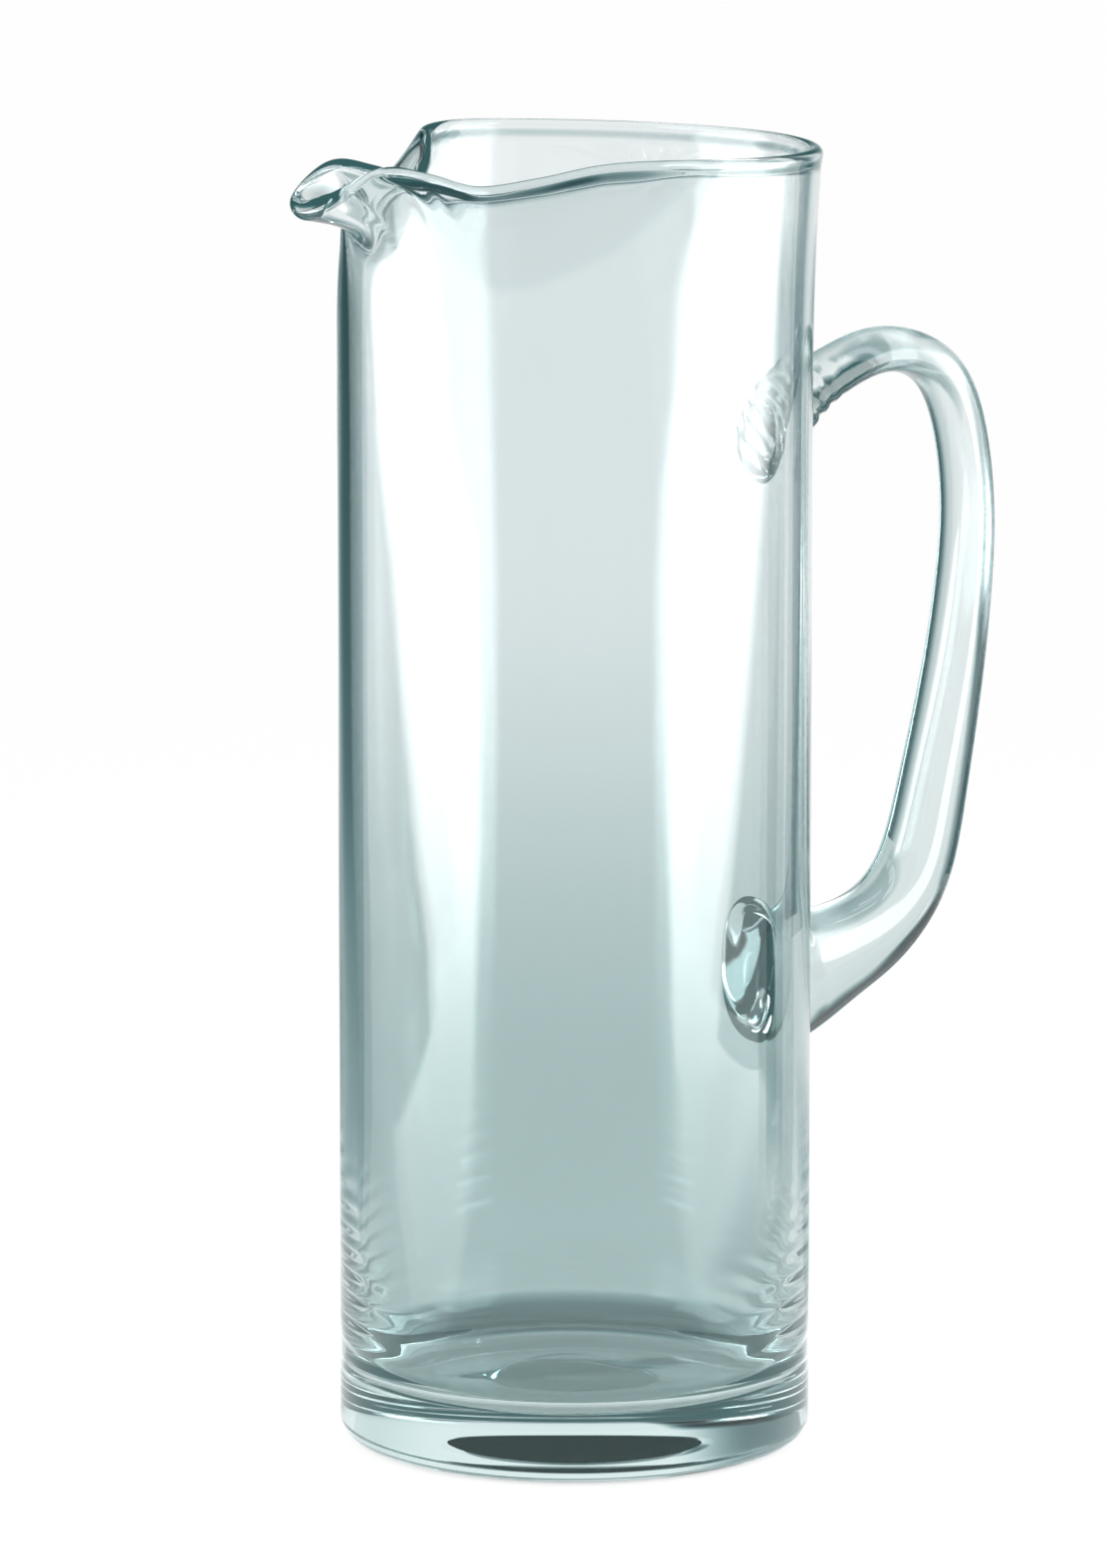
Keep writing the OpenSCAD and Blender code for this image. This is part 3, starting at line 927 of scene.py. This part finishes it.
# Under the foot less light gets in, so the floor there keeps more of its matt paint
floor_place = floor_tree.nodes.new("ShaderNodeTexCoord")
from_jug = floor_tree.nodes.new("ShaderNodeVectorMath")
from_jug.operation = "LENGTH"
floor_tree.links.new(floor_place.outputs["Object"], from_jug.inputs[0])
off_middle = from_jug.outputs["Value"]
foot_edge = BODY_R * MM
open_start = (BODY_R - FOOT_FADE) * MM
open_floor = fade_over(floor_tree, off_middle, open_start, foot_edge, UNDER_FOOT_GLOW, OPEN_GLOW)
glow_share = add_math(floor_tree, "MULTIPLY", seen_directly(floor_tree), open_floor)
floor_tree.links.new(glow_share, floor_mix.inputs["Fac"])
floor_tree.links.new(matt.outputs[0], floor_mix.inputs[1])
floor_tree.links.new(glow.outputs[0], floor_mix.inputs[2])
floor_tree.links.new(floor_mix.outputs[0], floor_tree.nodes["Material Output"].inputs["Surface"])
floor_mesh.materials.append(floor_paint)
print("white floor and background")

# %% [markdown]
# The thick base keeps light from the floor close behind it. Through the glass that floor is seen as a dark
# band above the base, so its glow takes a tone there: on the far side of the jug, from the edge of the foot
# outward, and only for light that has come through glass.

# %% The shade behind the jug
SHADE_START = 0.055
SHADE_END = 0.115
SHADE_TONE = (0.05, 0.11, 0.115, 1)
SHADE_MARGIN = 5.0
BEHIND_FROM = 0.7
BEHIND_FULL = 0.95
behind = floor_tree.nodes.new("ShaderNodeVectorMath")
behind.operation = "DOT_PRODUCT"
behind.inputs[1].default_value = (-math.sin(AZIMUTH), math.cos(AZIMUTH), 0)
aim = floor_tree.nodes.new("ShaderNodeVectorMath")
aim.operation = "NORMALIZE"
floor_tree.links.new(floor_place.outputs["Object"], aim.inputs[0])
floor_tree.links.new(aim.outputs["Vector"], behind.inputs[0])
near = fade_over(floor_tree, off_middle, SHADE_END, SHADE_START)
far_side = fade_over(floor_tree, behind.outputs["Value"], BEHIND_FROM, BEHIND_FULL)
beyond_foot = fade_over(floor_tree, off_middle, (BODY_R - SHADE_MARGIN) * MM, foot_edge)
floor_path = floor_tree.nodes.new("ShaderNodeLightPath")
shade = near
for part in (far_side, beyond_foot, floor_path.outputs["Is Transmission Ray"]):
    shade = add_math(floor_tree, "MULTIPLY", shade, part)
shade_tint = floor_tree.nodes.new("ShaderNodeGamma")
shade_tint.inputs["Color"].default_value = SHADE_TONE
floor_tree.links.new(shade, shade_tint.inputs["Gamma"])
floor_tree.links.new(shade_tint.outputs["Color"], glow.inputs["Color"])
print("shade behind the jug, out to", SHADE_END, "m")


# %% [markdown]
# Soft boxes and cards are bent sheets around the jug. In a studio they stand just outside the picture. Here
# some reach into it, so they are hidden from the camera itself. Each sheet is a few rows, and its tone runs
# from row to row. Most fade out at one end or both, because glass draws every hard edge.

# %% Curved panels and what they are made of
def curved_panel(name, side, rows, material, columns=16):
    # A row is a radius, a height, the angles where it starts and ends counted from the camera side, and how
    # full the panel's tone is there
    verts, faces, uvs = [], [], []
    for radius, height, start, end, tone in rows:
        for k in range(columns + 1):
            share = k / columns
            angle = AZIMUTH + side * math.radians(start + (end - start) * share)
            verts.append((math.sin(angle) * radius, -math.cos(angle) * radius, height))
            uvs.append((share, tone))
    for row in range(len(rows) - 1):
        for k in range(columns):
            corner = row * (columns + 1) + k
            faces.append((corner, corner + 1, corner + columns + 2, corner + columns + 1))
    mesh = bpy.data.meshes.new(name)
    mesh.from_pydata(verts, [], faces)
    layer = mesh.uv_layers.new(name="panel")
    for loop in mesh.loops:
        layer.data[loop.index].uv = uvs[loop.vertex_index]
    mesh.materials.append(material)
    panel = bpy.data.objects.new(name, mesh)
    panel.visible_camera = False
    bpy.context.collection.objects.link(panel)
    return panel


def band(start, end, places):
    # Rows that all have the same ends: a place is a radius, a height and a tone
    return [(radius, height, start, end, tone) for radius, height, tone in places]


def only_for_glass(panels):
    # The floor neither gets light from these panels nor lies in their shadow
    for panel in panels:
        panel.visible_diffuse = False
        panel.visible_shadow = False


def panel_tree(name, fade_parts):
    # The cover is how full the panel is: its rows' tone, fading out across its width
    material = bpy.data.materials.new(name)
    material.use_nodes = True
    tree = material.node_tree
    tree.nodes.remove(tree.nodes["Principled BSDF"])
    coords = tree.nodes.new("ShaderNodeTexCoord")
    split = tree.nodes.new("ShaderNodeSeparateXYZ")
    tree.links.new(coords.outputs["UV"], split.inputs[0])
    cover = split.outputs["Y"]
    for start, end in fade_parts:
        cover = add_math(tree, "MULTIPLY", cover, fade_over(tree, split.outputs["X"], start, end))
    return material, tree, cover


def glowing_panel(name, strength, through, fade_parts):
    # The full strength shows in reflections, and the other strength where the panel is seen straight through
    # the glass
    material, tree, cover = panel_tree(name, fade_parts)
    glow = tree.nodes.new("ShaderNodeEmission")
    path = tree.nodes.new("ShaderNodeLightPath")
    not_through = add_math(tree, "SUBTRACT", 1.0, path.outputs["Is Transmission Ray"])
    reflected = add_math(tree, "GREATER_THAN", path.outputs["Glossy Depth"], 0.5)
    full = add_math(tree, "MAXIMUM", not_through, reflected)
    extra = add_math(tree, "MULTIPLY", full, strength - through)
    tree.links.new(add_math(tree, "ADD", extra, through), glow.inputs["Strength"])
    clear = tree.nodes.new("ShaderNodeBsdfTransparent")
    cloth = tree.nodes.new("ShaderNodeMixShader")
    tree.links.new(cover, cloth.inputs["Fac"])
    tree.links.new(clear.outputs[0], cloth.inputs[1])
    tree.links.new(glow.outputs[0], cloth.inputs[2])
    tree.links.new(cloth.outputs[0], tree.nodes["Material Output"].inputs["Surface"])
    return material


def gel_panel(name, colour, fade_parts):
    # A coloured film: where it is thinner, less of its colour is taken, so it fades through its own hue
    material, tree, cover = panel_tree(name, fade_parts)
    film = tree.nodes.new("ShaderNodeGamma")
    film.inputs["Color"].default_value = colour
    tree.links.new(cover, film.inputs["Gamma"])
    clear = tree.nodes.new("ShaderNodeBsdfTransparent")
    tree.links.new(film.outputs["Color"], clear.inputs["Color"])
    tree.links.new(clear.outputs[0], tree.nodes["Material Output"].inputs["Surface"])
    return material


print("panels can glow or be films")

# %% [markdown]
# The two soft boxes are wide high up and narrower lower down. A dim skirt of each reaches over the table
# toward the jug, so the white strips on the wall thin out and end softly above the base. In reflections a
# box is bright, and straight through the glass it is only as white as the background. Two low strips of
# light lie on the table behind the foot, one to each side, and spark in the rings of the lower wall.

# %% Soft boxes and strips
ON_TABLE = 0.001
SOFT_BOX_STRENGTH = 7.0
THROUGH_STRENGTH = 1.0
STRIP_STRENGTH = 1.5
BOX_FADES = [(0.0, 0.16), (1.0, 0.84)]
STRIP_FADES = [(0.0, 0.3), (1.0, 0.7)]
soft_box_cloth = glowing_panel("soft_box_cloth", SOFT_BOX_STRENGTH, THROUGH_STRENGTH, BOX_FADES)
strip_cloth = glowing_panel("strip_cloth", STRIP_STRENGTH, STRIP_STRENGTH, STRIP_FADES)
LEFT_BOX_ROWS = [
    (0.13, ON_TABLE, 58, 74, 0.0),
    (0.18, ON_TABLE, 55, 77, 0.08),
    (0.25, ON_TABLE, 49, 86, 0.17),
    (0.30, ON_TABLE, 46, 93, 0.21),
    (0.375, ON_TABLE, 44, 97, 0.30),
    (0.45, ON_TABLE, 45, 80, 0.42),
    (0.45, 0.012, 45, 73, 0.55),
    (0.45, 0.035, 44, 75, 0.8),
    (0.45, 0.06, 42, 83, 1.0),
    (0.45, 0.10, 41.5, 93, 1.0),
    (0.45, 0.132, 45, 100, 1.0),
    (0.45, 0.165, 58, 110, 1.0),
    (0.45, 0.20, 62, 115, 1.0),
    (0.45, 0.45, 64, 121, 1.0),
]
RIGHT_BOX_ROWS = [
    (0.13, ON_TABLE, 58, 80, 0.0),
    (0.18, ON_TABLE, 55, 90, 0.08),
    (0.25, ON_TABLE, 47, 105, 0.17),
    (0.30, ON_TABLE, 44, 118, 0.22),
    (0.375, ON_TABLE, 43, 120, 0.32),
    (0.45, ON_TABLE, 44, 102, 0.44),
    (0.45, 0.012, 44, 72, 0.65),
    (0.45, 0.035, 43, 76, 0.9),
    (0.45, 0.06, 41, 83, 1.0),
    (0.45, 0.10, 40, 93, 1.0),
    (0.45, 0.20, 43, 115, 1.0),
    (0.45, 0.30, 48, 121, 1.0),
    (0.45, 0.45, 52, 121, 1.0),
]
curved_panel("soft_box_left", -1, LEFT_BOX_ROWS, soft_box_cloth)
curved_panel("soft_box_right", 1, RIGHT_BOX_ROWS, soft_box_cloth)
STRIP_ROWS = band(120, 155, [
    (0.080, ON_TABLE, 0.0),
    (0.090, ON_TABLE, 1.0),
    (0.110, ON_TABLE, 1.0),
    (0.125, ON_TABLE, 0.0),
])
only_for_glass([
    curved_panel("strip_left", -1, STRIP_ROWS, strip_cloth),
    curved_panel("strip_right", 1, STRIP_ROWS, strip_cloth),
])
print("two soft boxes and two strips")

# %% [markdown]
# The dark cards are films of blue-green gel. A film's tone runs from dark to clear across it, so the wall
# darkens smoothly toward its edge instead of stopping at a hard line. A hood of gel hangs above the rim all
# around, with a second one behind, and they draw the dark lines of the rim and throat. Three small films
# stand off the handle: one darkens the outline of its grip, one its upper root, and a screen keeps the right
# soft box from whitening its lower root. The films are seen only in and through the glass.

# %% Dark cards
DARK_TONE = (0.030, 0.070, 0.075, 1)
GREY_TONE = (0.52, 0.61, 0.62, 1)
SCREEN_TONE = (0.17, 0.20, 0.20, 1)
HOOD_TONE = (0.035, 0.085, 0.09, 1)
BOTH_ENDS = [(0.0, 0.2), (1.0, 0.8)]
left_film = gel_panel("left_film", DARK_TONE, [(1.0, 0.6)])
right_film = gel_panel("right_film", GREY_TONE, [(1.0, 0.3)])
back_film = gel_panel("back_film", DARK_TONE, BOTH_ENDS)
table_shadow_film = gel_panel("table_shadow_film", GREY_TONE, BOTH_ENDS)
grip_film = gel_panel("grip_film", DARK_TONE, [(1.0, 0.4)])
screen_film = gel_panel("screen_film", SCREEN_TONE, [(0.0, 0.1), (1.0, 0.9)])
hood_film = gel_panel("hood_film", HOOD_TONE, [])
LEFT_CARD = band(118, 167, [
    (0.20, ON_TABLE, 0.0),
    (0.27, ON_TABLE, 0.2),
    (0.34, ON_TABLE, 0.3),
    (0.35, 0.01, 0.32),
    (0.35, 0.05, 0.45),
    (0.35, 0.085, 0.65),
    (0.35, 0.12, 0.75),
    (0.35, 0.2, 0.92),
    (0.35, 0.5, 1.0),
])
RIGHT_CARD = band(125, 162, [
    (0.20, ON_TABLE, 0.0),
    (0.27, ON_TABLE, 0.2),
    (0.34, ON_TABLE, 0.35),
    (0.35, 0.01, 0.35),
    (0.35, 0.5, 0.45),
])
BACK_CARD = band(125, 165, [(1.6, 0.42, 0.0), (1.6, 0.6, 1.0), (1.6, 1.5, 1.0)])
# A grey film lies flat on the table behind the jug on the handle side: painted shadow of the jug, seen only
# through the glass
TABLE_SHADOW_FILM = band(136, 168, [
    (0.13, ON_TABLE, 0.0),
    (0.17, ON_TABLE, 1.0),
    (0.3, ON_TABLE, 1.0),
    (0.4, ON_TABLE, 0.0),
])
GRIP_CARD = band(118, 138, [(0.19, 0.08, 0.7), (0.19, 0.3, 0.7)])
ROOT_SCREEN = band(93, 108, [(0.165, 0.03, 0.0), (0.165, 0.06, 1.0), (0.165, 0.17, 1.0), (0.165, 0.20, 0.0)])
PAD_CARD = band(136, 153, [(0.12, 0.205, 0.0), (0.12, 0.218, 0.25), (0.12, 0.232, 0.25), (0.12, 0.25, 0.0)])
BACK_HOOD = band(146, 214, [
    (0.35, 0.262, 0.0),
    (0.35, 0.285, 0.15),
    (0.35, 0.31, 0.35),
    (0.35, 0.36, 0.5),
    (0.35, 0.42, 0.0),
])
HOOD = band(0, 360, [
    (0.35, 0.30, 0.0),
    (0.35, 0.325, 0.06),
    (0.35, 0.36, 0.5),
    (0.35, 0.42, 1.0),
    (0.35, 0.55, 1.0),
    (0.02, 0.65, 1.0),
])
cards = [
    curved_panel("card_left", -1, LEFT_CARD, left_film),
    curved_panel("card_right", 1, RIGHT_CARD, right_film),
    curved_panel("card_back", -1, BACK_CARD, back_film),
    curved_panel("table_shadow_film", 1, TABLE_SHADOW_FILM, table_shadow_film),
    curved_panel("card_grip", 1, GRIP_CARD, grip_film),
    curved_panel("root_screen", 1, ROOT_SCREEN, screen_film),
    curved_panel("card_pad", 1, PAD_CARD, back_film),
    curved_panel("back_hood", 1, BACK_HOOD, back_film),
    curved_panel("hood", 1, HOOD, hood_film, columns=64),
]
only_for_glass(cards)
print(len(cards), "cards")

# %% [markdown]
# ## Finish
# The plain view transform keeps the white of the studio white.

# %% View settings
bpy.context.scene.view_settings.view_transform = "Standard"
